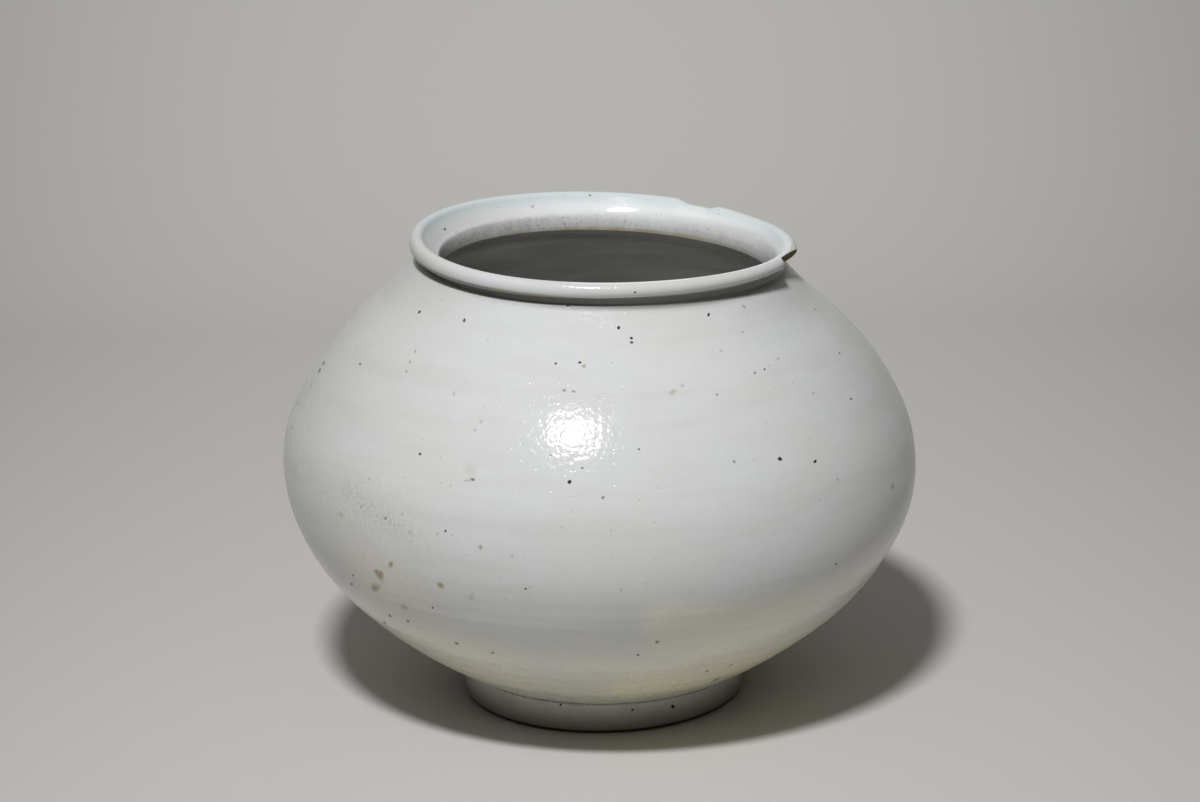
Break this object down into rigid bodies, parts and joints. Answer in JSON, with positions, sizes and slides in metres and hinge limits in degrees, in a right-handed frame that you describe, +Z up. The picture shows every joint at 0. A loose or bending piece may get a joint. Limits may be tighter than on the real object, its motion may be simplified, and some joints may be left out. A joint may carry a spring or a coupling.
{
  "type": "moon jar",
  "caption": "Round white porcelain storage jar of two bowls joined at the belly, with a short collar, a folded lip and a level foot ring.",
  "frame": {"origin": "middle of the foot ring's underside, on the surface that the jar stands on", "axes": "+Z up through the middle of the belly; +X is to the right in the picture and +Y away from its viewer; the bowls and the lip lean towards +X by 2.5 degrees"},
  "size_m": [0.2698, 0.27, 0.204],
  "materials": {
    "porcelain": "matte",
    "slip": "matte",
    "glaze": "gloss"
  },
  "bodies": {
    "root": {"foot_ring": "porcelain", "foot_slip": "slip", "lower_bowl": "porcelain", "belly_slip": "slip", "upper_bowl": "porcelain", "neck_slip": "slip", "neck_collar": "porcelain", "lip_coil": "porcelain", "outer_glaze": "glaze", "inner_glaze": "glaze", "foot_well_glaze": "glaze"}
  },
  "joints": []
}
